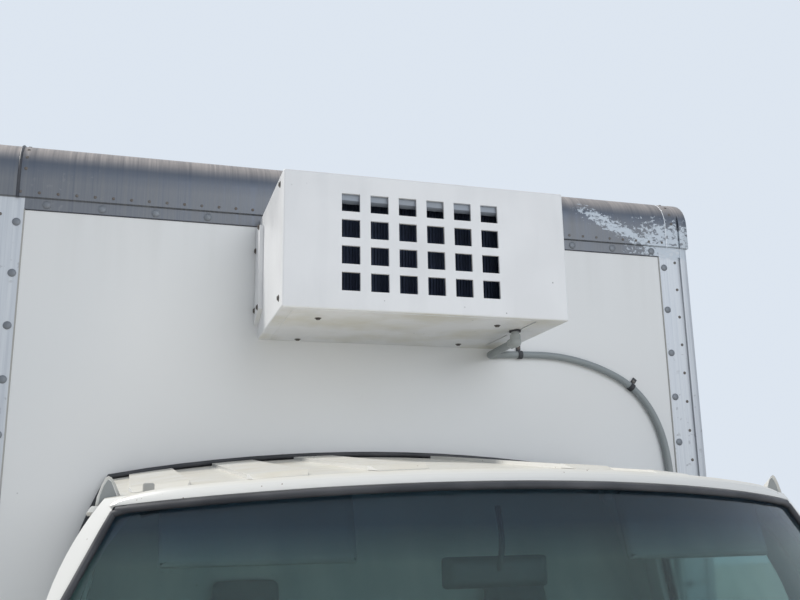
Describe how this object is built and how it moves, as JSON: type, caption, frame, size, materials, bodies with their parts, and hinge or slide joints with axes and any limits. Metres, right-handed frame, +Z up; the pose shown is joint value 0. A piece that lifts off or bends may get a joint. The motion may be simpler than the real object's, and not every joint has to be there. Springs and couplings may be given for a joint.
{
  "type": "refrigerated box truck",
  "caption": "Cutaway van truck with twin rear wheels, an insulated box body with swing doors and a cooling unit on the box's front wall.",
  "frame": {"origin": "on the ground under the middle of the truck's length and width", "axes": "+X to the driver's side (the vehicle's left), +Y to the rear, +Z up, so the truck faces -Y"},
  "size_m": [2.56, 6.677, 3.1249],
  "materials": {
    "cab_paint": "gloss white paint",
    "tinted_glass": "tinted",
    "cab_floor": "rubber floor covering",
    "dash_plastic": "grained plastic",
    "seat_fabric": "woven cloth",
    "grille_plastic": "grained plastic",
    "bumper_steel": "painted",
    "chassis_black": "dusty black",
    "cast_iron": "cast",
    "exhaust_steel": "weathered",
    "tank_plastic": "moulded",
    "floor_aluminium": "mill",
    "box_panel": "smooth white laminate",
    "roof_sheet": "mill",
    "mill_aluminium": "weathered mill",
    "frame_white": "painted",
    "galvanised": "galvanised",
    "lamp_lens": "lens",
    "unit_white": "powder coat",
    "coil_aluminium": "finned",
    "conduit_grey": "smooth",
    "wheel_white": "painted",
    "tyre_rubber": "matte"
  },
  "bodies": {
    "chassis": {"cab_shell": "cab_paint", "cab_roof": "cab_paint", "windscreen": "tinted_glass", "cab_floor": "cab_floor", "engine_cover": "cab_floor", "dashboard": "dash_plastic", "seats": "seat_fabric", "front_fenders": "cab_paint", "grille": "grille_plastic", "front_bumper": "bumper_steel", "frame_rails": "chassis_black", "crossmembers": "chassis_black", "engine_block": "cast_iron", "exhaust": "exhaust_steel", "fuel_tank": "tank_plastic", "front_axle": "chassis_black", "drive_axle": "chassis_black", "cargo_floor": "floor_aluminium", "front_wall": "box_panel", "side_walls": "box_panel", "box_roof": "roof_sheet", "front_frame": "mill_aluminium", "rear_frame": "frame_white", "rear_bumper": "galvanised", "lamps": "lamp_lens", "condenser_cover": "unit_white", "cooling_coils": "coil_aluminium", "conduit": "conduit_grey"},
    "hood": {"hood": "cab_paint"},
    "cab_door_left": {"cab_door_left": "cab_paint", "door_glass_left": "tinted_glass"},
    "cab_door_right": {"cab_door_right": "cab_paint", "door_glass_right": "tinted_glass"},
    "rear_door_left": {"rear_door_left": "box_panel"},
    "rear_door_right": {"rear_door_right": "box_panel"},
    "steering_wheel": {"steering_wheel": "dash_plastic"},
    "knuckle_left": {"knuckle_left": "chassis_black"},
    "knuckle_right": {"knuckle_right": "chassis_black"},
    "tie_rod": {"tie_rod": "chassis_black"},
    "wheel_front_left": {"wheel_front_left": "wheel_white", "tyre_front_left": "tyre_rubber"},
    "wheel_front_right": {"wheel_front_right": "wheel_white", "tyre_front_right": "tyre_rubber"},
    "wheels_rear_left": {"wheels_rear_left": "wheel_white", "tyres_rear_left": "tyre_rubber"},
    "wheels_rear_right": {"wheels_rear_right": "wheel_white", "tyres_rear_right": "tyre_rubber"}
  },
  "joints": [
    {"name": "steer_left", "type": "hinge", "parent": "chassis", "child": "knuckle_left", "pos_m": [0.7875, -2.6015, 0.372], "axis": [0, 0, 1], "range_deg": [-33, 33]},
    {"name": "steer_right", "type": "hinge", "parent": "chassis", "child": "knuckle_right", "pos_m": [-0.7875, -2.6015, 0.372], "axis": [0, 0, 1], "range_deg": [-33, 33]},
    {"name": "tie_rod_pivot", "type": "hinge", "parent": "knuckle_left", "child": "tie_rod", "pos_m": [0.7875, -2.4965, 0.262], "axis": [0, 0, 1], "range_deg": [-33, 33]},
    {"name": "steering_wheel_turn", "type": "hinge", "parent": "chassis", "child": "steering_wheel", "pos_m": [0.4, -1.8415, 1.235], "axis": [0, 0.866, 0.5], "range_deg": [-530, 530]},
    {"name": "spin_front_left", "type": "hinge", "parent": "knuckle_left", "child": "wheel_front_left", "pos_m": [0.8825, -2.6015, 0.372], "axis": [1, 0, 0], "continuous": true},
    {"name": "spin_front_right", "type": "hinge", "parent": "knuckle_right", "child": "wheel_front_right", "pos_m": [-0.8825, -2.6015, 0.372], "axis": [1, 0, 0], "continuous": true},
    {"name": "spin_rear_left", "type": "hinge", "parent": "chassis", "child": "wheels_rear_left", "pos_m": [0.9475, 1.4115, 0.372], "axis": [1, 0, 0], "continuous": true},
    {"name": "spin_rear_right", "type": "hinge", "parent": "chassis", "child": "wheels_rear_right", "pos_m": [-0.9475, 1.4115, 0.372], "axis": [1, 0, 0], "continuous": true},
    {"name": "hood_hinge", "type": "hinge", "parent": "chassis", "child": "hood", "pos_m": [0, -2.5865, 1.205], "axis": [-1, 0, 0], "range_deg": [0, 60]},
    {"name": "cab_door_left_hinge", "type": "hinge", "parent": "chassis", "child": "cab_door_left", "pos_m": [1.008, -2.1615, 0.9], "axis": [0, 0, -1], "range_deg": [0, 68]},
    {"name": "cab_door_right_hinge", "type": "hinge", "parent": "chassis", "child": "cab_door_right", "pos_m": [-1.008, -2.1615, 0.9], "axis": [0, 0, 1], "range_deg": [0, 68]},
    {"name": "rear_door_left_hinge", "type": "hinge", "parent": "chassis", "child": "rear_door_left", "pos_m": [1.241, 3.1985, 1.9], "axis": [0, 0, -1], "range_deg": [0, 265]},
    {"name": "rear_door_right_hinge", "type": "hinge", "parent": "chassis", "child": "rear_door_right", "pos_m": [-1.241, 3.1985, 1.9], "axis": [0, 0, 1], "range_deg": [0, 265]}
  ],
  "couplings": [
    {"joint": "steer_right", "follows": "steer_left", "ratio": 1},
    {"joint": "tie_rod_pivot", "follows": "steer_left", "ratio": -1},
    {"joint": "steering_wheel_turn", "follows": "steer_left", "ratio": 16}
  ]
}
